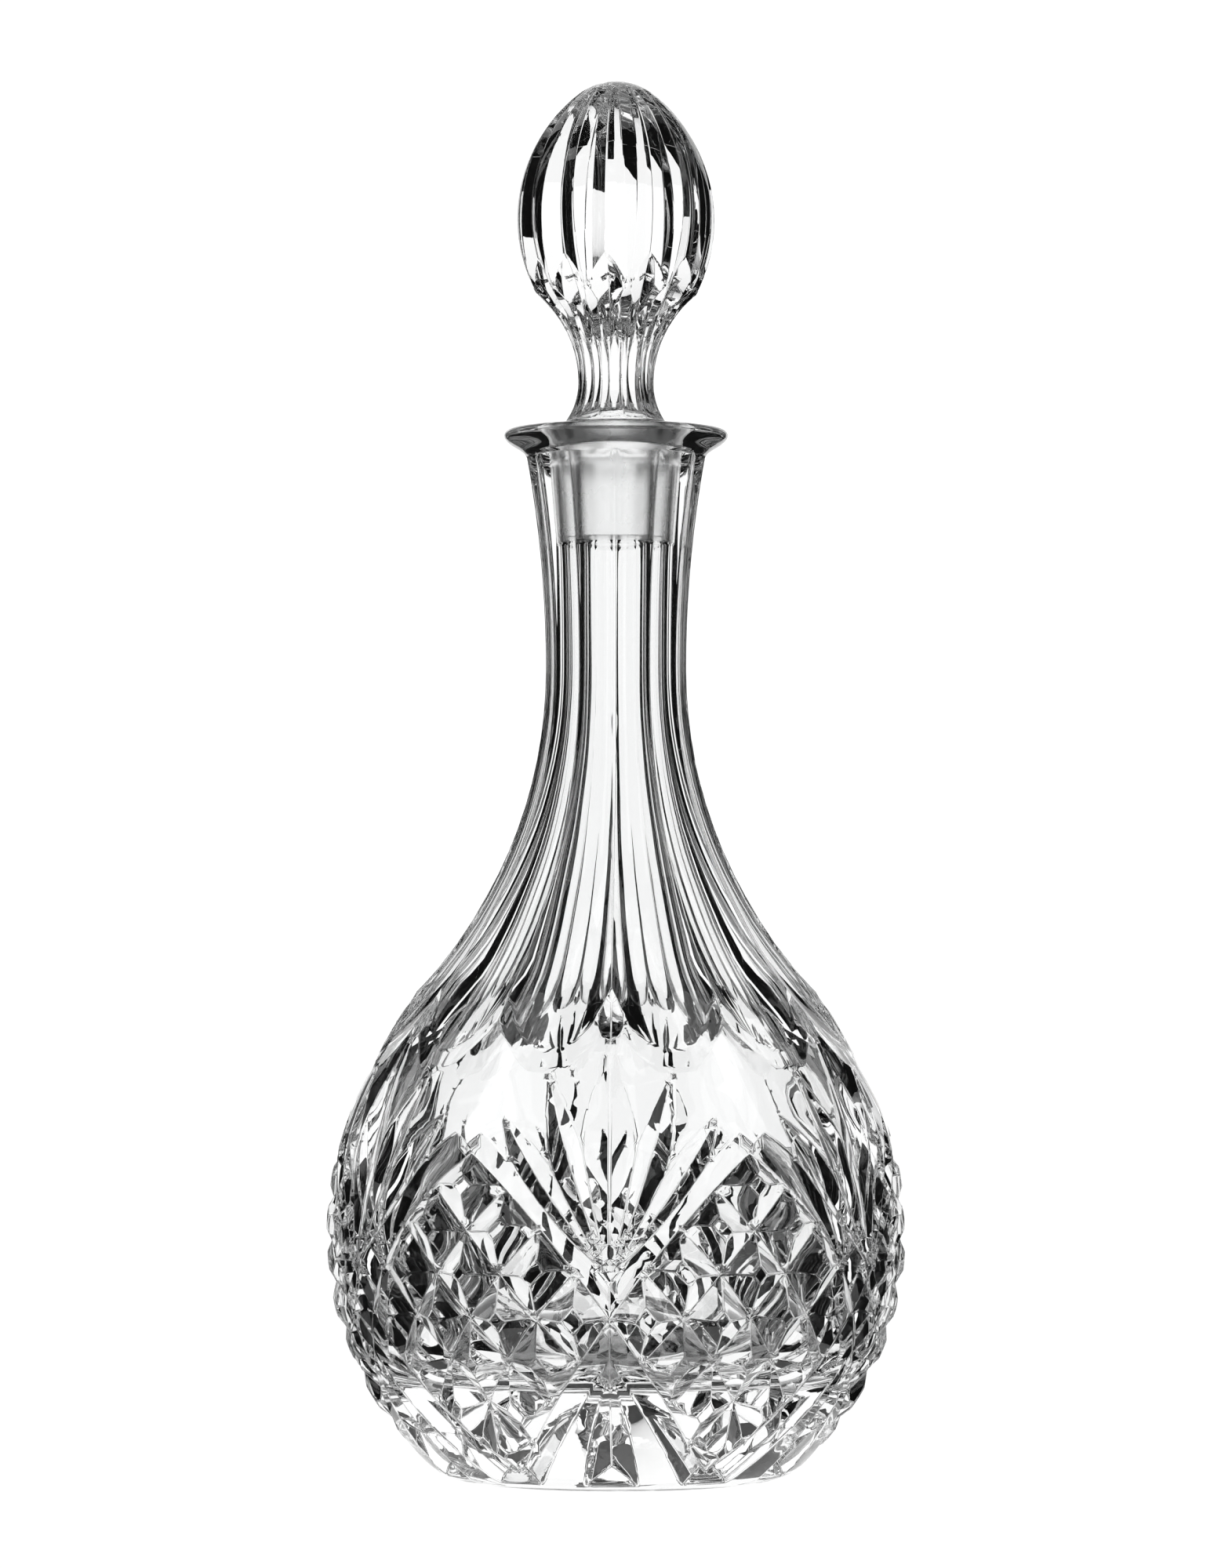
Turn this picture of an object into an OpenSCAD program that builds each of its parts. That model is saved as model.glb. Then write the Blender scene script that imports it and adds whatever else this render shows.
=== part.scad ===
// Cut crystal decanter with a ground glass stopper.
// The base rests on Z = 0 and the axis of the vessel is +Z.
// One fan of cuts is centred on the front, which faces -Y.

/* [Parts] */
// Sub-part to show
// Names of the separate pieces

/* [Vessel] */
// Largest radius of the belly, between the cuts
belly_r = 70.4; // [69:0.1:72]
// Height of the widest part of the belly
belly_z = 59; // [57:0.5:60]
// Radius of the flat that the vessel rests on
foot_r = 41.2; // [40:0.1:42]
// Narrowest radius of the neck, on the flute ridges
neck_r = 17.1; // [16.6:0.1:18]
// Height of the narrowest part of the neck
neck_z = 196; // [194:0.5:198]
// Radius of the lip disc
lip_r = 27.5; // [25:0.1:29]
// Height of the lip's top face
lip_z = 254.8; // [254.4:0.1:255.4]
// Thickness of the lip disc
lip_t = 5.8; // [4.5:0.1:6.5]
// Thickness of the glass wall, before cutting
wall = 6.6; // [6:0.1:7.5]
// Height of the inner floor
floor_z = 19; // [17:0.5:21]
// Bore radius of the neck below the ground socket
bore_r = 10.4; // [9.6:0.1:10.6]

/* [Cuts] */
// Depth of the diamond lattice grooves
lattice_depth = 3.3; // [2:0.1:3.6]
// Half angle of the lattice grooves
lattice_half_angle = 60; // [57:0.5:62]
// Depth of the crossing border grooves
border_depth = 2.7; // [1.8:0.1:3.2]
// Half angle of the border, fan and leaf grooves
leaf_half_angle = 64; // [60:0.5:66]
// Radius of the hollow-cutting tool for the neck flutes
flute_r = 30; // [26:0.5:36]

/* [Stopper] */
// Largest radius of the head, on the pleat ridges
head_r = 24.3; // [23.8:0.1:24.8]
// Narrowest radius of the stem
stem_r = 9.3; // [9:0.1:9.6]
// Depth of the pleats of the head
pleat_depth = 1.9; // [1.2:0.1:2.2]
// Radius of the ground plug where it leaves the lip
plug_top_r = 12.4; // [12.2:0.1:12.8]
// Radius of the ground plug at its lower end
plug_tip_r = 10.95; // [10.8:0.05:11.2]
// Height of the plug's lower end
plug_z = 228; // [226:0.5:232]
// Gap between the plug and its socket, on the radius
plug_gap = 0.07; // [0.05:0.01:0.1]

/* [Hidden] */
$fn = 96;
// Fans, diamonds and pleats repeat this many times round the vessel
fans = 6;
flutes = 12;
step = 360 / fans;

// Heights where the outer profile changes from foot cone to ball, shoulder cones and neck
foot_top_z = 12;
shoulder_z = 87.5;
shoulder_mid = [57.7, 103];
collar_z = 118.3;
neck_low_arc = [neck_r + 112, neck_z, 112];
neck_top_arc = [neck_r + 290, neck_z, 290];
collar_r = neck_low_arc[0] - sqrt(pow(neck_low_arc[2], 2) - pow(collar_z - neck_z, 2));
lip_under_z = lip_z - lip_t;
// Width of the small ledge between two curves that would otherwise meet without an edge
ledge = 0.04;
// Radius of the inner floor's rounded corner
floor_arc_r = 15;
// Heights where the inner ball gives way to the inner shoulder, and that to the inner neck
shoulder_in_z = 84.6;
inner_meet_z = 114;

function ball_r(z, ball) = sqrt(ball * ball - pow(z - belly_z, 2));
// Corners of the outer profile between the cones, from the foot up
function along(p, q, z) = p[0] + (q[0] - p[0]) * (z - p[1]) / (q[1] - p[1]);
foot_top = [ball_r(foot_top_z, belly_r), foot_top_z];
shoulder_foot = [ball_r(shoulder_z, belly_r) - ledge, shoulder_z];
// Radius of a concave arc, and of the outside, at a height
function waist_r(arc, z) = arc[0] - sqrt(arc[2] * arc[2] - pow(z - arc[1], 2));
function outer_r(z) =
    z < foot_top_z ? along([foot_r, 0], foot_top, z) :
    z < shoulder_z ? ball_r(z, belly_r) :
    z < shoulder_mid[1] ? along(shoulder_foot, shoulder_mid, z) :
    along(shoulder_mid, [collar_r, collar_z], z);
// Point on the ball's side at an angle from the front, sunk towards its centre by a depth
function ball_dir(a, z) = let (r = outer_r(z)) unit([r * sin(a), -r * cos(a), z - belly_z]);
function belly_point(a, z, depth) =
    let (r = outer_r(z)) [r * sin(a), -r * cos(a), z] - depth * ball_dir(a, z);
function unit(v) = v / norm(v);
function hundredths(x) = round(x * 100) / 100;
// Centre of the circle through three points
function circle_centre(a, b, c) =
    let (u = b - a, v = c - a, w = cross(u, v))
    a + (cross(w, u) * (v * v) + cross(v, w) * (u * u)) / (2 * (w * w));

// Glass between the axis and a convex arc, from height z1 to z2
module bulge(arc, z1, z2) {
    intersection() {
        translate([arc[0], arc[1]]) circle(r = arc[2]);
        translate([0, z1]) square([200, z2 - z1]);
    }
}

// Glass between the axis and a straight side, from corner p up to corner q
module cone_side(p, q) {
    polygon([[0, p[1]], p, q, [0, q[1]]]);
}

// Glass between the axis and a concave arc, from height z1 to z2
module waist(arc, z1, z2) {
    difference() {
        translate([0, z1]) square([min(arc[0], 100), z2 - z1]);
        translate([arc[0], arc[1]]) circle(r = arc[2]);
    }
}

// V groove along the circle through three points, opening along a normal
module v_groove(a, m, b, normal, half_angle, height) {
    c = circle_centre(a, m, b);
    ring_r = norm(m - c);
    x = unit(m - c);
    z = unit(cross(a - c, b - c));
    y = cross(z, x);
    n = unit([normal * x, normal * z]);
    t = [-n[1], n[0]] * tan(half_angle);
    from = atan2((a - c) * y, (a - c) * x);
    to = atan2((b - c) * y, (b - c) * x);
    multmatrix([[x[0], y[0], z[0], c[0]], [x[1], y[1], z[1], c[1]], [x[2], y[2], z[2], c[2]]])
        rotate([0, 0, from])
            rotate_extrude(angle = to - from)
                polygon([
                    [ring_r, 0],
                    [ring_r, 0] + height * (n + t),
                    [ring_r, 0] + height * (n - t)
                ]);
}

// Groove in the belly through three [angle, height, depth] points
module belly_groove(a, m, b, half_angle, clearance = 0.6) {
    v_groove(belly_point(a[0], a[1], a[2]), belly_point(m[0], m[1], m[2]),
        belly_point(b[0], b[1], b[2]), ball_dir(m[0], m[1]), half_angle, m[2] + clearance);
}

// Section of the glass before cutting, with the hollow taken out
module vessel_section() {
    difference() {
        union() {
            cone_side([foot_r, 0], foot_top);
            bulge([0, belly_z, belly_r], foot_top_z, shoulder_z);
            cone_side(shoulder_foot, shoulder_mid);
            cone_side(shoulder_mid, [collar_r + ledge, collar_z]);
            waist(neck_low_arc, collar_z, neck_z);
            waist(neck_top_arc + [ledge, 0, 0], neck_z, lip_under_z);
        }
        cavity_section();
    }
}

// Section of the lip disc, with a rounded edge
module lip_section() {
    edge_r = lip_t / 2;
    difference() {
        union() {
            translate([0, lip_under_z]) square([lip_r - edge_r, lip_t]);
            translate([lip_r - edge_r, lip_z - edge_r]) circle(r = edge_r);
        }
        cavity_section();
    }
}

// Section of the hollow, with the ground socket for the plug
module cavity_section() {
    inner_r = belly_r - wall;
    inner_neck = [neck_low_arc[0], neck_low_arc[1], neck_low_arc[0] - bore_r];
    corner_z = floor_z + floor_arc_r;
    corner_r = sqrt(pow(inner_r - floor_arc_r, 2) - pow(belly_z - corner_z, 2));
    tangent_z = hundredths(belly_z + (corner_z - belly_z) * inner_r / (inner_r - floor_arc_r));
    shoulder_in = [ball_r(shoulder_in_z, inner_r) - ledge, shoulder_in_z];
    mid_in = shoulder_mid - [0.88, 0.47] * wall;
    meet = [waist_r(inner_neck, inner_meet_z) + ledge, inner_meet_z];
    socket_slope = (plug_top_r - plug_tip_r) / (lip_z - plug_z);
    socket_top_r = plug_top_r + plug_gap + socket_slope;
    socket_foot_r = plug_tip_r + plug_gap - socket_slope;
    translate([0, floor_z]) square([corner_r, tangent_z - floor_z]);
    bulge([corner_r - ledge, corner_z, floor_arc_r], floor_z, tangent_z);
    bulge([0, belly_z, inner_r], tangent_z, shoulder_in_z);
    cone_side(shoulder_in, mid_in);
    cone_side(mid_in, meet);
    waist(inner_neck, inner_meet_z, neck_z);
    translate([0, neck_z]) square([bore_r - ledge, plug_z - 1 - neck_z]);
    polygon([[0, plug_z - 1], [socket_foot_r, plug_z - 1], [socket_top_r, lip_z + 1], [0, lip_z + 1]]);
}

// Hollow-cutting tool for one neck flute: a lens swept along two bends
module neck_flute() {
    half = 180 / flutes;
    tube_at_neck = neck_r * cos(half) + sqrt(flute_r * flute_r - pow(neck_r * sin(half), 2));
    bend_low = 94;
    bend_top = 285;
    rotate([90, 0, 0]) {
        translate([tube_at_neck + bend_low, neck_z])
            rotate([0, 0, 180]) rotate_extrude(angle = 58) flute_lens(bend_low);
        translate([tube_at_neck + bend_top, neck_z])
            rotate([0, 0, 180]) rotate_extrude(angle = -12) flute_lens(bend_top);
    }
}

// The part of the round tool that meets the glass
module flute_lens(bend) {
    depth = 6;
    intersection() {
        translate([bend, 0]) circle(r = flute_r);
        translate([bend + flute_r - depth, -flute_r]) square([depth + 1, 2 * flute_r]);
    }
}

// Leaves that spread from one point below the middle of the fan
module middle_leaf() {
    belly_groove([0, 119, -0.2], [0, 86, 2.6], [0, 53.7, 0.5], leaf_half_angle, 1.2);
}

module inner_leaf() {
    belly_groove([15, 102.5, -0.2], [9.6, 84, 1.9], [0.9, 54.4, 0.4], leaf_half_angle);
}

module outer_leaf() {
    belly_groove([23.5, 90.5, -0.2], [15, 76, 1.9], [1.9, 55.4, 0.3], leaf_half_angle);
}

// Heights of the lattice crossings, from the lowest corner of a diamond to its top
lattice_z = [1.7, 10.5, 20.5, 31, 41.5, 51.8, 62, 71.7, 81];

// Crossing of two lattice lines, i and j from 0 to 4, as [angle, height, depth]
function crossing(i, j) = [step / 2 + 7.5 * (i - j), lattice_z[i + j], lattice_depth];

// Lattice groove across one diamond, counted from its lowest corner
module lattice_groove(k) {
    belly_groove(crossing(k, 0), crossing(k, 2), crossing(k, 4), lattice_half_angle);
}

// Groove that frames the diamonds and the fan, from the foot on one side to a tip on the other
module border() {
    belly_groove([-31, 0.4, border_depth], [0, 41.5, border_depth], [31, 82.3, border_depth],
        leaf_half_angle);
}

// Leaf that rises from the foot below each fan
module foot_leaf() {
    belly_groove([0, -0.5, 1], [0, 14, 2.4], [0, 30.5, -0.2], leaf_half_angle);
}

// Copies of a cutter all round the vessel, and their mirror images where turned is -1
module all_round(copies, turned = 1) {
    for (k = [0:copies - 1])
        rotate([0, 0, k * 360 / copies]) mirror([turned < 0 ? 1 : 0, 0, 0]) children();
}

// Cutters in the order they are used; those of one turn stand clear of each other
module cutters(turn) {
    if (turn == 1) all_round(flutes) rotate([0, 0, 180 / flutes]) neck_flute();
    if (turn == 2) all_round(fans) middle_leaf();
    if (turn == 3) all_round(fans) foot_leaf();
    if (turn == 4) all_round(fans) inner_leaf();
    if (turn == 5) all_round(fans, -1) inner_leaf();
    if (turn == 6) all_round(fans) outer_leaf();
    if (turn == 7) all_round(fans, -1) outer_leaf();
    if (turn == 8) all_round(fans) border();
    if (turn == 9) all_round(fans, -1) border();
    if (turn >= 10 && turn <= 12) all_round(fans) lattice_groove(turn - 9);
    if (turn >= 13) all_round(fans, -1) lattice_groove(turn - 12);
}

// The vessel below the lip after a number of turns of cutting
module cut_vessel(turns) {
    if (turns == 0)
        rotate([0, 0, 10]) rotate_extrude() vessel_section();
    else
        difference() {
            cut_vessel(turns - 1);
            cutters(turns);
        }
}

module decanter_body() {
    color([0.93, 0.95, 0.96, 0.45]) {
        cut_vessel(15);
        rotate_extrude() lip_section();
    }
}

// Head of the stopper: an egg of two arcs that meet with one slope
head_z = 306;
nose_r = 15;
nose_z = 325;
side_arc_r = (pow(nose_z - head_z, 2) + pow(head_r, 2) - pow(nose_r, 2)) / (2 * (head_r - nose_r));
side_arc = [head_r - side_arc_r, head_z, side_arc_r];
nose_join_z = nose_z + nose_r * (nose_z - head_z) / (side_arc_r - nose_r);
stem_z = 266;
stem_arc = [stem_r + 28, stem_z, 28];
flare_arc = [stem_r + 16, stem_z, 16];
stem_top_z = 288.6;
flare_z = stem_z - sqrt(pow(flare_arc[2], 2) - pow(flare_arc[0] - plug_top_r, 2));

module stopper_blank() {
    rotate_extrude() {
        waist(stem_arc, stem_z, stem_top_z);
        waist(flare_arc, flare_z, stem_z);
        bulge(side_arc, stem_top_z, nose_join_z);
        bulge([-ledge, nose_z, nose_r], nose_join_z, nose_z + nose_r);
        polygon([[0, plug_z], [plug_tip_r - 0.6, plug_z], [plug_tip_r, plug_z + 0.6],
            [plug_top_r, lip_z], [plug_top_r, flare_z], [0, flare_z]]);
    }
}

// Point on the head in the plane of one pleat, sunk below the surface
function head_point(z, depth) =
    let (nz = (z - head_z) / side_arc_r, nr = sqrt(1 - nz * nz))
    [side_arc[0] + (side_arc_r - depth) * nr, 0, z - depth * nz];

// V cut down the side of the head
module pleat() {
    v_groove(head_point(289.5, 0.4), head_point(309, pleat_depth), head_point(335, -0.3),
        [1, 0, 0.08], 73, 4);
}

// Hollow cut up the side of the stem
module stem_flute() {
    tool_r = 6;
    half = 180 / flutes;
    tube = stem_r * cos(half) + sqrt(tool_r * tool_r - pow(stem_r * sin(half), 2));
    bend = 23;
    translate([tube + bend, 0, stem_z])
        rotate([90, 0, 0])
            rotate([0, 0, 180 - 60])
                rotate_extrude(angle = 80) translate([bend, 0]) circle(r = tool_r);
}

module stopper() {
    color([0.93, 0.95, 0.96, 0.45])
        difference() {
            stopper_blank();
            for (k = [0:flutes - 1]) {
                rotate([0, 0, -90 - 5 + k * 30]) pleat();
                rotate([0, 0, -90 - 5 + k * 30]) stem_flute();
            }
        }
}

decanter_body();
stopper();
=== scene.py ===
import math

import bmesh
import bpy
import numpy as np
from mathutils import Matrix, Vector


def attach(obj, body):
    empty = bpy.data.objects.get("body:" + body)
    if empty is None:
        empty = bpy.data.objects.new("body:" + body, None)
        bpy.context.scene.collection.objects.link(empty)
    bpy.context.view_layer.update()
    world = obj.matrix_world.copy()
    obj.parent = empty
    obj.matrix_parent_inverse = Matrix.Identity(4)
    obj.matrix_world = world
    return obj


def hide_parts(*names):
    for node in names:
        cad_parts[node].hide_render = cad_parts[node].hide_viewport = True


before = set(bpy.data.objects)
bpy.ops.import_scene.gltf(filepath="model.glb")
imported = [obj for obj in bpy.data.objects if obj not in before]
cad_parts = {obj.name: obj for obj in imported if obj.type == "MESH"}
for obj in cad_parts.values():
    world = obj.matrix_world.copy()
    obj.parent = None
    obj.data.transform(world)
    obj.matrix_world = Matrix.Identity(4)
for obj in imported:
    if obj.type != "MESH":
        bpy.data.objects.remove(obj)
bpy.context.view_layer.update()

# ---------------------------------------------------------------- sizes, in millimetres
# Outside of the vessel
HEEL_Z = 3.2  # top of the heel that is rounded in to the resting face
BELLY_R = 70.35
BELLY_Z = 59.0
LOW_ARC = 75.0  # radius of the side's curve below the belly's widest line
MID_ARC = 78.0
SHOULDER_ARC = 200.0
SHOULDER_Z = 91.7
COLLAR_Z = 118.3  # where the shoulder turns into the neck
NECK_R = 17.1
NECK_Z = 196.0  # height of the waist of the neck
NECK_LOW_ARC = 112.0
NECK_TOP_ARC = 290.0
NECK_TOP_Z = 247.6
LIP_R = 27.4
LIP_Z = 254.7

# Cuts of the vessel
FANS = 6
FOOT_RIM = 1.5  # height of the uncut rim that the vessel stands on
FOOT_SLOPE = 1.3  # how steeply the cuts run out above the rim
FLUTE_R = 30.0  # radius of the round tool that cuts the neck flutes
FLUTE_HALF = math.radians(15.0)
FLUTE_LOW_BEND = 94.0
FLUTE_TOP_BEND = 285.0
STEP_DEPTH = 0.85  # depth of the step where the neck flutes end
STEP_Z = 140.0  # height where that step begins
STEP_RUN = 24.0  # height over which it reaches its full depth
RUN_OUT_Z = 115.0  # height above which the band below a flute fades out
LATTICE_Z = (1.7, 10.5, 20.5, 31.0, 41.5, 51.8, 62.0, 71.7, 81.0)
LATTICE_STEP = 7.5  # degrees from one lattice crossing to the next
LATTICE_DEPTH = 3.3
LATTICE_ANGLE = 60.0
BORDER_DEPTH = 2.7
LEAF_ANGLE = 64.0
MIDDLE_LEAF_ANGLE = 76.0

# Inside of the vessel
WALL = 6.6
FLOOR_Z = 25.0
FLOOR_DIP = 1.2  # how much lower the floor is in its middle
FLOOR_ARC = 15.0
BORE_R = 10.4

# Stopper
PLUG_TOP_R = 12.4
PLUG_TIP_R = 10.95
PLUG_Z = 228.0
PLUG_SLOPE = (PLUG_TOP_R - PLUG_TIP_R) / (LIP_Z - PLUG_Z)
PLUG_GAP = 0.07
PLEATS = 12
STEM_R = 9.3
STEM_Z = 266.0
STEM_LOW_ARC = 16.0
STEM_TOP_ARC = 28.0
STEM_TOP_Z = 288.6
STEM_TOOL_R = 6.0
HEAD_R = 24.2
HEAD_Z = 306.0
NOSE_R = 15.0
NOSE_Z = 324.9
PLEAT_ANGLE = 73
UNDER_CUT_ANGLE = 55
VALLEY = -5.0  # degrees from the front to a valley of the stopper's pleats

# Segments of the turned surfaces
FOOT_COUNT = 144
INSIDE_COUNT = 120
PLUG_COUNT = 96

# How far the mesh is refined on each side of a crease, as a difference of depth
VESSEL_BEVEL = 0.26
STOPPER_BEVEL = 0.16

# ---------------------------------------------------------------- studio, in metres
CAMERA_TURN = 1.3  # degrees round from the front
CAMERA_DISTANCE = 1.337
CAMERA_Z = 0.126
LOOK_Z = 0.168
LENS_MM = 126.0
WORLD_LIGHT = 1.12
FLOOR_SIDE = 14
CARD_R = 1.0
CARD_TOP_Z = 1.25
# Start of the lower edge, start of the upper edge and common end, degrees from behind
WALL_CARDS = ((15, 60, 61), (66, 68, 108), (118, 118, 168), (180, 180, 240), (250, 250, 294),
              (346, 300, 299))


# ---------------------------------------------------------------- turned blanks


class Turned:
    """Outside of a turned blank, as arcs from the bottom up.

    Each span is (top height, (radius of centre, height of centre, arc radius), sign), where
    the sign is +1 for a convex arc and -1 for a concave one.
    """

    def __init__(self, spans):
        self.spans = spans

    def at(self, z):
        """Radius and outward normal at height z."""
        z = np.asarray(z, float)
        r, nr, nz = np.zeros_like(z), np.ones_like(z), np.zeros_like(z)
        low = -np.inf
        for top, (rc, zc, arc), sign in self.spans:
            mask = (z >= low) & (z < top)
            dz = (z[mask] - zc) / arc
            dr = np.sqrt(np.maximum(1 - dz * dz, 1e-9))
            r[mask], nr[mask], nz[mask] = rc + sign * arc * dr, dr, sign * dz
            low = top
        return r, nr, nz

    def sunk(self, a, z, depth):
        """Point at an angle from the front and a height, below the surface by a depth."""
        a, z = np.radians(np.asarray(a, float)), np.asarray(z, float)
        r, nr, nz = self.at(z)
        rr = r - depth * nr
        return np.stack([rr * np.sin(a), -rr * np.cos(a), z - depth * nz], -1)

    def normal(self, a, z):
        """Outward normal at an angle from the front and a height."""
        a = np.radians(np.asarray(a, float))
        _, nr, nz = self.at(z)
        return np.stack([nr * np.sin(a), -nr * np.cos(a), nz], -1)


def vessel_blank():
    """Heel, belly, shoulder and neck before cutting."""
    low = (BELLY_R - LOW_ARC, BELLY_Z, LOW_ARC)
    mid = (BELLY_R - MID_ARC, BELLY_Z, MID_ARC)
    nz = (SHOULDER_Z - BELLY_Z) / MID_ARC
    nr = math.sqrt(1 - nz * nz)
    back = SHOULDER_ARC - MID_ARC
    shoulder = (mid[0] - back * nr, mid[1] - back * nz, SHOULDER_ARC)
    return Turned([
        (HEEL_Z, (36.15, 13.6, 14.0), 1),
        (BELLY_Z, low, 1),
        (SHOULDER_Z, mid, 1),
        (COLLAR_Z, shoulder, 1),
        (NECK_Z, (NECK_R + NECK_LOW_ARC, NECK_Z, NECK_LOW_ARC), -1),
        (np.inf, (NECK_R + NECK_TOP_ARC, NECK_Z, NECK_TOP_ARC), -1),
    ])


def stopper_blank():
    """Stem and egg-shaped head before cutting."""
    gap = HEAD_R - NOSE_R
    arc = ((NOSE_Z - HEAD_Z) ** 2 + HEAD_R ** 2 - NOSE_R ** 2) / (2 * gap)
    join = NOSE_Z + NOSE_R * (NOSE_Z - HEAD_Z) / (arc - NOSE_R)
    return Turned([
        (STEM_Z, (STEM_R + STEM_LOW_ARC, STEM_Z, STEM_LOW_ARC), -1),
        (STEM_TOP_Z, (STEM_R + STEM_TOP_ARC, STEM_Z, STEM_TOP_ARC), -1),
        (join, (HEAD_R - arc, HEAD_Z, arc), 1),
        (np.inf, (0.0, NOSE_Z, NOSE_R), 1),
    ])


# ---------------------------------------------------------------- cuts


def unit(v):
    return v / np.linalg.norm(v)


class VGroove:
    """A V cut whose bottom follows the circle through three sunk points."""

    def __init__(self, blank, points, half_angle, run_out=2.5):
        a, m, b = [blank.sunk(*q) for q in points]
        normal = blank.normal(*points[1][:2])
        u, v = m - a, b - a
        w = np.cross(u, v)
        self.centre = a + (np.cross(w, u) * (v @ v) + np.cross(v, w) * (u @ u)) / (2 * (w @ w))
        self.radius = np.linalg.norm(m - self.centre)
        self.x = unit(m - self.centre)
        self.z = unit(np.cross(a - self.centre, b - self.centre))
        self.y = np.cross(self.z, self.x)
        self.out = unit(np.array([normal @ self.x, normal @ self.z]))
        self.across = np.array([-self.out[1], self.out[0]])
        self.cot = 1 / math.tan(math.radians(half_angle))
        self.run_out = run_out
        self.low = self.angle(a)
        self.high = self.angle(b)

    def angle(self, p):
        """Angle of a point round the circle, from the middle of the cut."""
        d = p - self.centre
        return np.arctan2(d @ self.y, d @ self.x)

    def gap(self, p, side):
        """How far a point is inside one side plane of the V."""
        d = p - self.centre
        w = d @ self.z
        q = np.hypot(d @ self.x, d @ self.y) - self.radius
        above = q * self.out[0] + w * self.out[1]
        aside = q * self.across[0] + w * self.across[1]
        return above - side * aside * self.cot

    def heights(self, p, n):
        """Depths of the two side planes along -n, and of the slope above the foot rim."""
        along = self.angle(p)
        beyond = np.maximum(np.maximum(self.low - along, along - self.high), 0) * self.radius
        sides = [solve(lambda q: self.gap(q, side), p, n) - self.run_out * beyond
                 for side in (1, -1)]
        return np.array(sides + [FOOT_SLOPE * (p[:, 2] - FOOT_RIM)])


class Hollow:
    """A hollow cut by a round tool that is swept along bends about the waist."""

    def __init__(self, mid, tool_r, waist_r, waist_z, bend_low, bend_top):
        a = math.radians(mid)
        self.out = (math.sin(a), -math.cos(a))
        self.tool_r, self.z = tool_r, waist_z
        self.bends = (bend_low, bend_top)
        self.tube = (waist_r * math.cos(FLUTE_HALF)
                     + math.sqrt(tool_r ** 2 - (waist_r * math.sin(FLUTE_HALF)) ** 2))

    def gap(self, q):
        """How far a point is inside the tool."""
        x = q[:, 0] * self.out[0] + q[:, 1] * self.out[1]
        y = -q[:, 0] * self.out[1] + q[:, 1] * self.out[0]
        bend = np.where(q[:, 2] < self.z, *self.bends)
        d = np.hypot(x - self.tube - bend, q[:, 2] - self.z) - bend
        return self.tool_r - np.hypot(d, y)

    def heights(self, p, n):
        return solve(self.gap, p, n)[None]


class NeckFlute(Hollow):
    """A long hollow of the neck, sunk a step deeper where it ends on the shoulder."""

    def heights(self, p, n):
        step = STEP_DEPTH * np.clip((STEP_Z - p[:, 2]) / STEP_RUN, 0, 1)
        return super().heights(p, n) + step


class RunOut(Hollow):
    """The sloping band below the rounded end of a neck flute."""

    def heights(self, p, n):
        above = np.maximum(p[:, 2] - RUN_OUT_Z, 0)
        return STEP_DEPTH + STEP_DEPTH / 2.2 * super().heights(p, n) - 0.15 * above


def solve(gap, p, n, reach=9.0):
    """Depth along -n at which a gap closes."""
    t = np.zeros(len(p))
    for _ in range(4):
        g0 = gap(p - n * t[:, None])
        g1 = gap(p - n * (t + 0.05)[:, None])
        t = np.clip(t - g0 / np.minimum((g1 - g0) / 0.05, -0.05), -reach, reach)
    return t


def crossing(i, j):
    """Where two lattice lines cross, as angle, height and depth."""
    return (180.0 / FANS + LATTICE_STEP * (i - j), LATTICE_Z[i + j], LATTICE_DEPTH)


def mirrored(leaf):
    """The same cut on the other side of the fan's middle."""
    return [(-a, z, d) for a, z, d in leaf]


def vessel_cuts(blank):
    """Every cut that touches the strip from a fan's middle to a diamond's middle."""
    notch = ((0, 119.5, -0.3), (0, 113, 2.3), (0, 105.5, -0.2))
    foot_leaf = ((0, 30.5, -0.2), (0, 14, 2.4), (0, -1, 1.2))
    inner_leaf = ((15, 102.5, -0.2), (9.6, 84, 1.9), (0.9, 54.4, 0.4))
    outer_leaf = ((23.5, 90.5, -0.2), (15, 76, 1.9), (1.9, 55.4, 0.3))
    middle_leaf = ((0, 112, -0.1), (0, 88, 1.6), (0, 53.7, 0.4))
    border = ((-30, 1.7, BORDER_DEPTH), (0, 41.5, BORDER_DEPTH), (30, 81, BORDER_DEPTH))
    leaves = [notch, foot_leaf]
    for leaf in (inner_leaf, outer_leaf):
        leaves += [leaf, mirrored(leaf), [(60 - a, z, d) for a, z, d in leaf]]
    leaves += [border, mirrored(border)]
    cuts = [VGroove(blank, leaf, LEAF_ANGLE) for leaf in leaves]
    for k in (1, 2, 3):
        cuts.append(VGroove(blank, [crossing(k, j) for j in (0, 2, 4)], LATTICE_ANGLE))
        cuts.append(VGroove(blank, [crossing(j, k) for j in (0, 2, 4)], LATTICE_ANGLE))
    cuts.append(VGroove(blank, middle_leaf, MIDDLE_LEAF_ANGLE))
    for mid in (-15, 15, 45):
        for kind in (NeckFlute, RunOut):
            cuts.append(kind(mid, FLUTE_R, NECK_R, NECK_Z, FLUTE_LOW_BEND, FLUTE_TOP_BEND))
    return cuts


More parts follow.
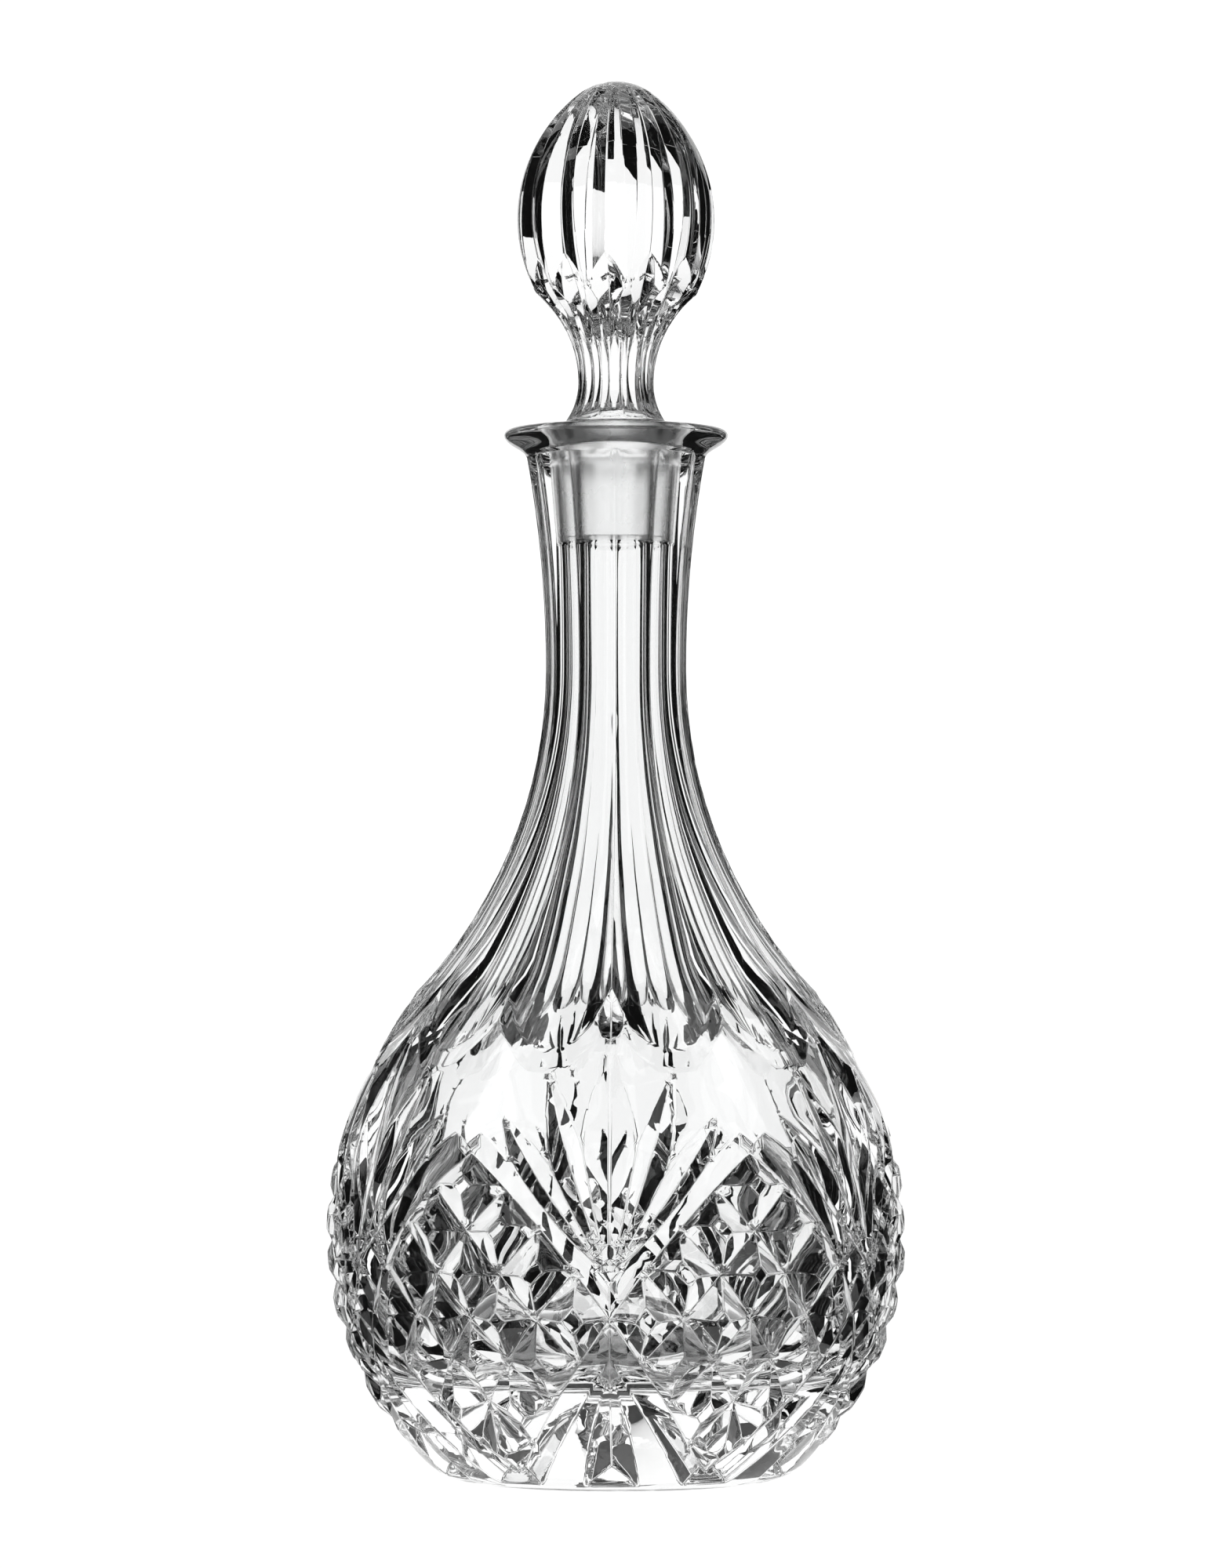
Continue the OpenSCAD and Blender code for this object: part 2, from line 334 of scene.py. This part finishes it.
def stopper_cuts(blank):
    """Pleats of the head, long cuts under them and hollows of the stem."""
    cuts = []
    for mid in (-30, 0, 30):
        pleat = [(mid, 286, 1.2), (mid, 309, 1.9), (mid, 337.5, 0.25)]
        under_cut = [(mid, 296.6, 1.5), (mid, 289, 3.6), (mid, 262, 0.7)]
        cuts.append(VGroove(blank, pleat, PLEAT_ANGLE))
        cuts.append(VGroove(blank, under_cut, UNDER_CUT_ANGLE, run_out=1.0))
        cuts.append(Hollow(mid, STEM_TOOL_R, STEM_R, STEM_Z, 14.0, 23.0))
    return cuts


# ---------------------------------------------------------------- creased strip of surface


class Strip:
    """A grid over a strip of surface, split so that every crease lies on mesh edges."""

    def __init__(self, us, vs):
        nu, nv = len(us), len(vs)
        uu, vv = np.meshgrid(us, vs)
        self.u, self.v = list(uu.ravel()), list(vv.ravel())
        self.tris = []
        for j in range(nv - 1):
            for i in range(nu - 1):
                a = j * nu + i
                b, c, d = a + 1, a + nu + 1, a + nu
                self.tris += [(a, b, c), (a, c, d)] if (i + j) % 2 else [(a, b, d), (b, c, d)]

    def add(self, u, v):
        self.u.append(u)
        self.v.append(v)
        return len(self.u) - 1

    def cross_points(self, keys, label, label_of):
        """Where the label changes along each edge, found by halving."""
        k = np.array(keys)
        u, v = np.array(self.u), np.array(self.v)
        lo, hi = np.zeros(len(k)), np.ones(len(k))
        first = label[k[:, 0]]
        for _ in range(12):
            mid = (lo + hi) / 2
            lab = label_of(u[k[:, 0]] * (1 - mid) + u[k[:, 1]] * mid,
                           v[k[:, 0]] * (1 - mid) + v[k[:, 1]] * mid)
            same = lab == first
            lo, hi = np.where(same, mid, lo), np.where(same, hi, mid)
        mid = np.clip((lo + hi) / 2, 0.03, 0.97)
        return {e: self.add(self.u[e[0]] * (1 - m) + self.u[e[1]] * m,
                            self.v[e[0]] * (1 - m) + self.v[e[1]] * m) for e, m in zip(keys, mid)}

    def split(self, label_of, planes_of=None):
        """Cuts every triangle along the lines where its label changes.

        planes_of is needed only where three labels can meet in one triangle.
        """
        label = label_of(np.array(self.u), np.array(self.v))
        keys = sorted({tuple(sorted((t[i], t[(i + 1) % 3]))) for t in self.tris for i in range(3)
                       if label[t[i]] != label[t[(i + 1) % 3]]})
        mids = self.cross_points(keys, label, label_of) if keys else {}
        out, triple = [], []
        for t in self.tris:
            la = [label[i] for i in t]
            m = [mids.get(tuple(sorted((t[i], t[(i + 1) % 3])))) for i in range(3)]
            kinds = len(set(la))
            if kinds == 1:
                out.append(t)
            elif kinds == 2:
                lone = next(i for i in range(3) if la.count(la[i]) == 1)
                b, c = t[(lone + 1) % 3], t[(lone + 2) % 3]
                ab, ca = m[lone], m[(lone + 2) % 3]
                out += [(t[lone], ab, ca), (ab, b, c), (ab, c, ca)]
            else:
                triple.append((t, la, m))
        if triple:
            for (t, _, m), (pu, pv) in zip(triple, self.meeting_points(triple, planes_of)):
                c = self.add(pu, pv)
                for i in range(3):
                    out += [(t[i], m[i], c), (t[i], c, m[(i + 2) % 3])]
        self.tris = out

    def meeting_points(self, triple, planes_of):
        """Where three faces meet inside a triangle, kept clear of its sides."""
        cu = np.array([[self.u[i] for i in t] for t, _, _ in triple])
        cv = np.array([[self.v[i] for i in t] for t, _, _ in triple])
        pu = np.array([np.mean([self.u[i] for i in m]) for _, _, m in triple])
        pv = np.array([np.mean([self.v[i] for i in m]) for _, _, m in triple])
        labs = np.array([la for _, la, _ in triple])
        rows = np.arange(len(triple))
        for _ in range(3):
            h, hu, hv = [], [], []
            base, du, dv = planes_of(pu, pv), planes_of(pu + 0.01, pv), planes_of(pu, pv + 0.01)
            for i in range(3):
                h.append(base[labs[:, i], rows])
                hu.append((du[labs[:, i], rows] - h[i]) / 0.01)
                hv.append((dv[labs[:, i], rows] - h[i]) / 0.01)
            a11, a12, b1 = hu[0] - hu[1], hv[0] - hv[1], h[1] - h[0]
            a21, a22, b2 = hu[0] - hu[2], hv[0] - hv[2], h[2] - h[0]
            det = a11 * a22 - a12 * a21
            det = np.where(np.abs(det) < 1e-6, 1e9, det)
            pu = pu + (b1 * a22 - b2 * a12) / det
            pv = pv + (a11 * b2 - a21 * b1) / det
        reach_u = (cu.max(1) - cu.min(1)) * 0.28
        reach_v = (cv.max(1) - cv.min(1)) * 0.28
        pu = np.clip(pu, cu.mean(1) - reach_u, cu.mean(1) + reach_u)
        pv = np.clip(pv, cv.mean(1) - reach_v, cv.mean(1) + reach_v)
        return list(zip(pu, pv))


class Carving:
    """Heights of a cut surface over a strip that is repeated by mirroring."""

    def __init__(self, candidates, span):
        self.candidates = candidates  # gives, at (u, v), the depths of each feature's faces
        self.span = span

    def inside(self, u):
        return np.clip(u, 1e-3, self.span - 1e-3)

    def planes(self, u, v):
        """Depth of every face of every feature."""
        return np.concatenate(self.candidates(self.inside(u), v))

    def depth(self, u, v):
        """Depth of the deepest feature, each as deep as its shallowest face."""
        feats = self.candidates(self.inside(u), v)
        return np.max([f.min(0) for f in feats], 0)

    def label(self, u, v):
        """Number of the face that shows at each point."""
        feats = self.candidates(self.inside(u), v)
        depth = np.array([f.min(0) for f in feats])
        best = np.argmax(depth, 0)
        starts = np.cumsum([0] + [len(f) for f in feats[:-1]])
        side = np.array([np.argmin(f, 0) for f in feats])
        return starts[best] + side[best, np.arange(len(best))]

    def near(self, u, v, width):
        """True within about a width of a crease."""
        feats = self.candidates(self.inside(u), v)
        depth = np.array([f.min(0) for f in feats])
        order = np.sort(depth, 0)
        gap = order[-1] - order[-2]
        best = np.argmax(depth, 0)
        flat = np.full(len(u), 99.0)  # a feature of one face has no fold
        fold = np.array([np.sort(f, 0)[1] - f.min(0) if len(f) > 1 else flat for f in feats])
        fold = fold[best, np.arange(len(best))]
        return (np.minimum(gap, fold) < width).astype(int)


def features(blank, cuts, a, z):
    """Depths of the uncut blank and of every cut's faces."""
    p = blank.sunk(a, z, 0.0)
    n = blank.normal(a, z)
    return [np.zeros((1, len(z)))] + [cut.heights(p, n) for cut in cuts]


def carved_points(blank, cuts, half, us, vs, bevel):
    """Positions and triangles of a carved strip, refined beside each crease."""
    carving = Carving(lambda u, v: features(blank, cuts, u, v), half)
    strip = Strip(us, vs)
    strip.split(carving.label, carving.planes)
    strip.split(lambda u, v: carving.near(u, v, bevel))
    u, v = np.array(strip.u), np.array(strip.v)
    pos = blank.sunk(u, v, carving.depth(u, v))
    return pos, strip.tris


def all_round(pos, tris, copies, turn=0.0):
    """A strip and its mirror image, repeated all round the axis."""
    points, faces = [], []
    for k in range(copies):
        a = math.radians(turn + k * 360.0 / copies)
        for side in (1, -1):
            x, y = side * pos[:, 0], pos[:, 1]
            base = len(points)
            points += list(zip(x * math.cos(a) - y * math.sin(a),
                               x * math.sin(a) + y * math.cos(a), pos[:, 2]))
            faces += [tuple(base + i for i in (t if side > 0 else t[::-1])) for t in tris]
    return points, faces


# ---------------------------------------------------------------- closed solids


def angle_of(v):
    """Angle of a mesh point about the axis."""
    return math.atan2(v.co.y, v.co.x)


def add_ring(bm, radius, z, count):
    """A ring of points; radius may be a function of the angle."""
    out = []
    for k in range(count):
        a = -math.pi + 2 * math.pi * (k + 0.5) / count
        r = radius(a) if callable(radius) else radius
        out.append(bm.verts.new((r * math.cos(a), r * math.sin(a), z)))
    return out


def zip_rings(bm, low, high):
    """Faces between two rings of any counts, walked by angle."""
    low, high = sorted(low, key=angle_of), sorted(high, key=angle_of)
    i, j, n, m = 0, 0, len(low), len(high)
    while i < n or j < m:
        next_low = angle_of(low[(i + 1) % n]) + (2 * math.pi if i + 1 >= n else 0)
        next_high = angle_of(high[(j + 1) % m]) + (2 * math.pi if j + 1 >= m else 0)
        a, b = low[i % n], high[j % m]
        if j >= m or (i < n and next_low <= next_high):
            bm.faces.new((a, low[(i + 1) % n], b))
            i += 1
        else:
            bm.faces.new((a, high[(j + 1) % m], b))
            j += 1


def loft(bm, start, profile, count, tip_z):
    """Rings along a profile of (radius, height), from a first ring to a point on the axis."""
    last = start
    for step, (r, z) in enumerate(profile):
        ring = add_ring(bm, r, z, count)
        if step:
            for k in range(count):
                bm.faces.new((last[k], last[(k + 1) % count], ring[(k + 1) % count], ring[k]))
        else:
            zip_rings(bm, last, ring)
        last = ring
    tip = bm.verts.new((0, 0, tip_z))
    for k in range(count):
        bm.faces.new((last[k], last[(k + 1) % count], tip))


def boundary(bm, above, below):
    """Points of the open edge between two heights."""
    found = {v for e in bm.edges if e.is_boundary for v in e.verts}
    return [v for v in found if above < v.co.z < below]


def arc_path(centre, radius, start, end, steps):
    """Points along an arc of a profile, angles in degrees from the radius axis."""
    angles = [math.radians(start + (end - start) * k / steps) for k in range(steps + 1)]
    return [(centre[0] + radius * math.cos(a), centre[1] + radius * math.sin(a)) for a in angles]


def to_object(bm, name):
    """Finishes a closed mesh in millimetres as an object in metres."""
    bmesh.ops.scale(bm, vec=(0.001, 0.001, 0.001), verts=bm.verts)
    bmesh.ops.recalc_face_normals(bm, faces=bm.faces)
    for f in bm.faces:
        f.smooth = True
    mesh = bpy.data.meshes.new(name)
    bm.to_mesh(mesh)
    bm.free()
    obj = bpy.data.objects.new(name, mesh)
    bpy.context.scene.collection.objects.link(obj)
    return obj


def carved_bmesh(points, faces):
    """Mesh of a carved surface, with the seams between its strips closed."""
    bm = bmesh.new()
    verts = [bm.verts.new(p) for p in points]
    for f in faces:
        try:
            bm.faces.new([verts[i] for i in f])
        except ValueError:  # a face on a seam that is already there
            pass
    bmesh.ops.remove_doubles(bm, verts=bm.verts, dist=0.003)
    return bm


# ---------------------------------------------------------------- vessel


def lip_profile():
    """From the top of the neck round the rolled lip to the mouth."""
    under = [(21.9, 248.0), (22.4, 248.7), (23.3, 249.4), (24.5, 250.1), (25.6, 250.8)]
    edge = [(26.5, 251.5), (27.1, 252.2), (LIP_R, 253.0), (27.2, 253.7), (26.5, 254.25)]
    top = [(25.2, 254.5), (23.0, 254.6), (20.0, 254.66), (17.0, LIP_Z), (14.5, LIP_Z)]
    return under + edge + top + [(13.6, 254.6), (13.0, 254.25)]


def inside_profile():
    """From the mouth down the ground socket, the bore and the bowl to the floor."""
    inner_r = BELLY_R - WALL
    neck_arc = NECK_LOW_ARC + NECK_R - BORE_R
    socket = [(PLUG_TOP_R + PLUG_GAP - PLUG_SLOPE * (LIP_Z - z), z)
              for z in np.linspace(253.4, 227.4, 8)]
    step = [(PLUG_TIP_R - 0.1, 226.9), (BORE_R + 0.12, 226.6), (BORE_R, 226.0)]
    bore = [(BORE_R, z) for z in (222.0, 214.0, 205.0)]
    neck = [(NECK_R + NECK_LOW_ARC - math.sqrt(neck_arc ** 2 - (z - NECK_Z) ** 2), z)
            for z in np.arange(NECK_Z, 117.0, -4.0)]
    corner_z = FLOOR_Z + FLOOR_ARC
    corner_r = math.sqrt((inner_r - FLOOR_ARC) ** 2 - (BELLY_Z - corner_z) ** 2)
    meet = math.degrees(math.atan2(corner_z - BELLY_Z, corner_r))
    ball = arc_path((0, BELLY_Z), inner_r, 26.0, meet, 28)
    corner = arc_path((corner_r, corner_z), FLOOR_ARC, meet, -88.0, 9)[1:]
    floor = [(r, FLOOR_Z - drop) for r, drop in
             ((36.0, 0.1), (27.0, 0.5), (17.0, 0.9), (8.0, 1.15), (3.0, FLOOR_DIP))]
    join = blend_path(neck[-1], (0.62, -0.78), ball[0], (0.44, -0.9), 10)
    return socket + step + bore + neck + join + ball + corner + floor


def blend_path(p, dp, q, dq, steps):
    """Smooth curve of a profile between two points with the slopes given at them."""
    out = []
    span = math.dist(p, q)
    for k in range(1, steps):
        t = k / steps
        h = (2 * t ** 3 - 3 * t ** 2 + 1, t ** 3 - 2 * t ** 2 + t,
             3 * t ** 2 - 2 * t ** 3, t ** 3 - t ** 2)
        out.append(tuple(h[0] * p[i] + h[1] * span * dp[i] + h[2] * q[i] + h[3] * span * dq[i]
                         for i in range(2)))
    return out


def wavy(r, z):
    """Slight unevenness of the blown inside, none in the ground socket."""
    swell = 0.25 * min(1.0, max(0.08, (112.0 - z) / 25.0)) * min(1.0, r / 20.0)
    swell = 0.0 if z > 222.0 else swell

    def radius(a):
        wave = (0.8 * math.sin(5 * a + 0.071 * z) + 0.8 * math.sin(9 * a - 0.11 * z + 1.3)
                + 0.7 * math.sin(0.27 * z + 2 * a) + 0.5 * math.sin(17 * a + 0.31 * z + 0.4))
        return r + swell * wave
    return radius


def build_vessel():
    """The cut outside, the lip, the ground socket and the bowl as one closed solid."""
    blank = vessel_blank()
    half_fan = 180.0 / FANS
    us = np.linspace(0, half_fan, 21)
    vs = np.concatenate([[0.0, 0.25, 0.7, 1.3, 1.9], np.linspace(2.6, 121.0, 76),
                         np.linspace(124, 240, 22), [244.0, NECK_TOP_Z]])
    pos, tris = carved_points(blank, vessel_cuts(blank), half_fan, us, vs, VESSEL_BEVEL)
    pos[pos[:, 2] < 0.01, 2] = 0.0
    bm = carved_bmesh(*all_round(pos, tris, FANS))
    base = [(35.2, 0.0), (34.0, 0.0), (31.5, 0.0), (30.6, 0.12), (29.5, 0.4), (24.0, 0.75),
            (16.0, 1.0), (8.0, 1.15), (3.0, 1.2)]
    foot_ring = boundary(bm, -1, 5)
    loft(bm, foot_ring, base, FOOT_COUNT, 1.2)
    edge = set(foot_ring)
    for e in bm.edges:
        if e.verts[0] in edge and e.verts[1] in edge:
            e.smooth = False
    profile = lip_profile() + [(wavy(r, z), z) for r, z in inside_profile()]
    loft(bm, boundary(bm, 240, 260), profile, INSIDE_COUNT, FLOOR_Z - FLOOR_DIP)
    return to_object(bm, "decanter_glass")


# ---------------------------------------------------------------- stopper


def build_stopper():
    """Pleated head, fluted stem and ground plug as one closed solid."""
    blank = stopper_blank()
    half_pleat = 180.0 / PLEATS
    flare_z = STEM_Z - math.sqrt(STEM_LOW_ARC ** 2 - (STEM_R + STEM_LOW_ARC - PLUG_TOP_R) ** 2)
    nose = [NOSE_Z + NOSE_R * math.sin(math.radians(e)) for e in np.linspace(38, 86, 12)]
    us = np.linspace(0, half_pleat, 11)
    vs = np.concatenate([np.linspace(flare_z + 0.8, 284, 24), np.linspace(285, 300, 17),
                         np.linspace(302, nose[0] - 1.5, 20), nose])
    pos, tris = carved_points(blank, stopper_cuts(blank), half_pleat, us, vs, STOPPER_BEVEL)
    bm = carved_bmesh(*all_round(pos, tris, PLEATS, VALLEY))
    plug = [(PLUG_TOP_R - 0.1, flare_z), (PLUG_TOP_R, flare_z - 0.5)]
    plug += [(PLUG_TOP_R - PLUG_SLOPE * (LIP_Z - z), z)
             for z in np.linspace(LIP_Z, PLUG_Z + 0.7, 9)]
    plug += [(PLUG_TIP_R - 0.12, PLUG_Z + 0.25), (PLUG_TIP_R - 0.4, PLUG_Z + 0.05)]
    plug += [(PLUG_TIP_R - 0.8, PLUG_Z), (8.0, PLUG_Z), (4.0, PLUG_Z), (1.5, PLUG_Z)]
    loft(bm, boundary(bm, 250, 262), plug, PLUG_COUNT, PLUG_Z)
    crown = bm.verts.new((0, 0, NOSE_Z + NOSE_R))
    ring = sorted(boundary(bm, 335, 345), key=angle_of)
    for a, b in zip(ring, ring[1:] + ring[:1]):
        bm.faces.new((a, b, crown))
    return to_object(bm, "stopper_glass")


# ---------------------------------------------------------------- materials


def node(tree, kind, inputs=(), **settings):
    """A shader node with its settings and the values of named inputs."""
    made = tree.nodes.new(kind)
    for key, value in settings.items():
        setattr(made, key, value)
    for name, value in inputs:
        made.inputs[name].default_value = value
    return made


def math_node(tree, operation, *values):
    """Output of a math node whose inputs are numbers or other outputs."""
    made = node(tree, "ShaderNodeMath", operation=operation)
    for k, v in enumerate(values):
        if isinstance(v, (int, float)):
            made.inputs[k].default_value = v
        else:
            tree.links.new(v, made.inputs[k])
    return made.outputs[0]


def crystal(name, ground_low, ground_top, ground_r):
    """Clear crystal with faint smears, and satin where it is ground.

    The ground part lies between two heights and inside a radius, in millimetres.
    """
    mat = bpy.data.materials.new(name)
    mat.use_nodes = True
    tree = mat.node_tree
    bsdf = tree.nodes["Principled BSDF"]
    bsdf.inputs["Base Color"].default_value = (0.985, 0.988, 0.988, 1)
    bsdf.inputs["IOR"].default_value = 1.545
    bsdf.inputs["Transmission Weight"].default_value = 1.0
    bsdf.inputs["Roughness"].default_value = 0.0
    coord = node(tree, "ShaderNodeTexCoord")
    parts = node(tree, "ShaderNodeSeparateXYZ")
    tree.links.new(coord.outputs["Object"], parts.inputs[0])
    x, y, z = parts.outputs
    r2 = math_node(tree, "ADD", math_node(tree, "MULTIPLY", x, x),
                   math_node(tree, "MULTIPLY", y, y))
    band = math_node(tree, "MULTIPLY", math_node(tree, "GREATER_THAN", z, ground_low * 0.001),
                     math_node(tree, "LESS_THAN", z, ground_top * 0.001))
    band = math_node(tree, "MULTIPLY", band,
                     math_node(tree, "LESS_THAN", r2, (ground_r * 0.001) ** 2))
    grain = node(tree, "ShaderNodeTexNoise", inputs=(("Scale", 90.0), ("Detail", 3.0)))
    tree.links.new(coord.outputs["Object"], grain.inputs["Vector"])
    satin = math_node(tree, "MULTIPLY_ADD", grain.outputs["Fac"], 0.14, 0.2)
    smear = math_node(tree, "MULTIPLY_ADD", grain.outputs["Fac"], 0.016, -0.006)
    smear = math_node(tree, "MAXIMUM", smear, 0.0)
    rough = node(tree, "ShaderNodeMix", data_type="FLOAT")
    tree.links.new(band, rough.inputs[0])
    tree.links.new(smear, rough.inputs[2])
    tree.links.new(satin, rough.inputs[3])
    tree.links.new(rough.outputs[0], bsdf.inputs["Roughness"])
    swirl = node(tree, "ShaderNodeTexNoise", inputs=(("Scale", 55.0), ("Detail", 1.5)))
    tree.links.new(coord.outputs["Object"], swirl.inputs["Vector"])
    bump = node(tree, "ShaderNodeBump", inputs=(("Strength", 0.35), ("Distance", 0.00012)))
    tree.links.new(swirl.outputs["Fac"], bump.inputs["Height"])
    tree.links.new(bump.outputs[0], bsdf.inputs["Normal"])
    return mat


def plain_paint(name, colour, roughness):
    """Matt paint of one colour."""
    mat = bpy.data.materials.new(name)
    mat.use_nodes = True
    bsdf = mat.node_tree.nodes["Principled BSDF"]
    bsdf.inputs["Base Color"].default_value = colour
    bsdf.inputs["Roughness"].default_value = roughness
    bsdf.inputs["Specular IOR Level"].default_value = 0.0
    return mat


# ---------------------------------------------------------------- studio


def flat_object(bm, name, mat):
    """Turns a flat sheet's mesh into an object with one material."""
    mesh = bpy.data.meshes.new(name)
    bm.to_mesh(mesh)
    bm.free()
    mesh.materials.append(mat)
    obj = bpy.data.objects.new(name, mesh)
    bpy.context.scene.collection.objects.link(obj)
    return obj


def panel(name, centre, facing, width, height, mat):
    """A flat panel whose face looks at a point."""
    centre, facing = Vector(centre), Vector(facing)
    bm = bmesh.new()
    n = (facing - centre).normalized()
    side = n.cross(Vector((0, 0, 1))).normalized()
    up = side.cross(n)
    bm.faces.new([bm.verts.new(centre + side * sx * width / 2 + up * sy * height / 2)
                  for sx, sy in ((-1, -1), (1, -1), (1, 1), (-1, 1))])
    return flat_object(bm, name, mat)


def card(name, edges, mat):
    """A black card between two edges of points, seen only in the glass."""
    bm = bmesh.new()
    rows = [[bm.verts.new(p) for p in pair] for pair in zip(*edges)]
    for p, q in zip(rows, rows[1:]):
        bm.faces.new((p[0], q[0], q[1], p[1]))
    obj = flat_object(bm, name, mat)
    obj.visible_camera = obj.visible_diffuse = obj.visible_shadow = False
    return obj


def bend(radius, start, end, z, steps):
    """Points along a level arc about the axis; angles in degrees from straight behind (+Y)."""
    angles = [math.radians(start + (end - start) * k / steps) for k in range(steps + 1)]
    return [(radius * math.sin(a), radius * math.cos(a), z) for a in angles]


def wall_card(name, low_start, high_start, end, mat):
    """An upright card bent about the axis, with one slanting edge."""
    return card(name, (bend(CARD_R, low_start, end, 0.0, 12),
                       bend(CARD_R, high_start, end, CARD_TOP_Z, 12)), mat)


def ring_card(name, inner, outer, start, end, z, mat):
    """A level card in the shape of a ring, which may be open at the back."""
    return card(name, (bend(inner, start, end, z, 24), bend(outer, start, end, z, 24)), mat)


def studio():
    """Pale floor, white surroundings, dark cards seen only in the glass."""
    world = bpy.data.worlds.new("studio")
    world.use_nodes = True
    background = world.node_tree.nodes["Background"]
    background.inputs["Color"].default_value = (1, 1, 1, 1)
    background.inputs["Strength"].default_value = WORLD_LIGHT
    bpy.context.scene.world = world
    pale = plain_paint("floor_paint", (0.93, 0.93, 0.93, 1), 0.6)
    dark = plain_paint("card_black", (0.004, 0.004, 0.004, 1), 0.9)
    # The floor faces a point a hair off the vertical, as a panel can't face straight up
    staged = [panel("floor", (0, 0, -0.0002), (0, 0.0001, 1), FLOOR_SIDE, FLOOR_SIDE, pale)]
    for k, edges in enumerate(WALL_CARDS):
        staged.append(wall_card("card_%d" % k, *edges, dark))
    staged.append(ring_card("card_foot", 0.078, CARD_R, 12, 349, 0.0005, dark))
    staged.append(ring_card("card_top", 0.4, CARD_R, 20, 340, CARD_TOP_Z, dark))
    staged.append(ring_card("card_under", 0.001, 0.039, 0, 360, -0.0001, dark))


def camera():
    """Stands a little to one side of the front and looks slightly up."""
    data = bpy.data.cameras.new("camera")
    data.sensor_width = 36.0
    data.lens = LENS_MM
    data.clip_start = 0.05
    data.clip_end = 50.0
    cam = bpy.data.objects.new("camera", data)
    bpy.context.scene.collection.objects.link(cam)
    a = math.radians(CAMERA_TURN)
    cam.location = (CAMERA_DISTANCE * math.sin(a), -CAMERA_DISTANCE * math.cos(a), CAMERA_Z)
    look = Vector((0, 0, LOOK_Z)) - cam.location
    cam.rotation_euler = look.to_track_quat("-Z", "Y").to_euler()
    bpy.context.scene.camera = cam


def light_paths(scene):
    """Enough bounces for light to pass through the cut glass, and plain colours."""
    scene.cycles.max_bounces = 32
    scene.cycles.transmission_bounces = 32
    scene.cycles.glossy_bounces = 16
    scene.cycles.transparent_max_bounces = 8
    scene.cycles.blur_glossy = 0.0
    scene.cycles.sample_clamp_indirect = 6.0
    scene.view_settings.view_transform = "Standard"


def main():
    vessel = build_vessel()
    vessel.data.materials.append(crystal("vessel_crystal", 226.9, 254.0, 13.0))
    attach(vessel, "vessel")
    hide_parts("decanter_body")
    stopper = build_stopper()
    stopper.data.materials.append(crystal("stopper_crystal", 228.1, 254.7, 13.0))
    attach(stopper, "stopper")
    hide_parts("stopper")
    for piece in (vessel, stopper):
        piece.visible_shadow = piece.visible_diffuse = False
    studio()
    camera()
    light_paths(bpy.context.scene)


main()
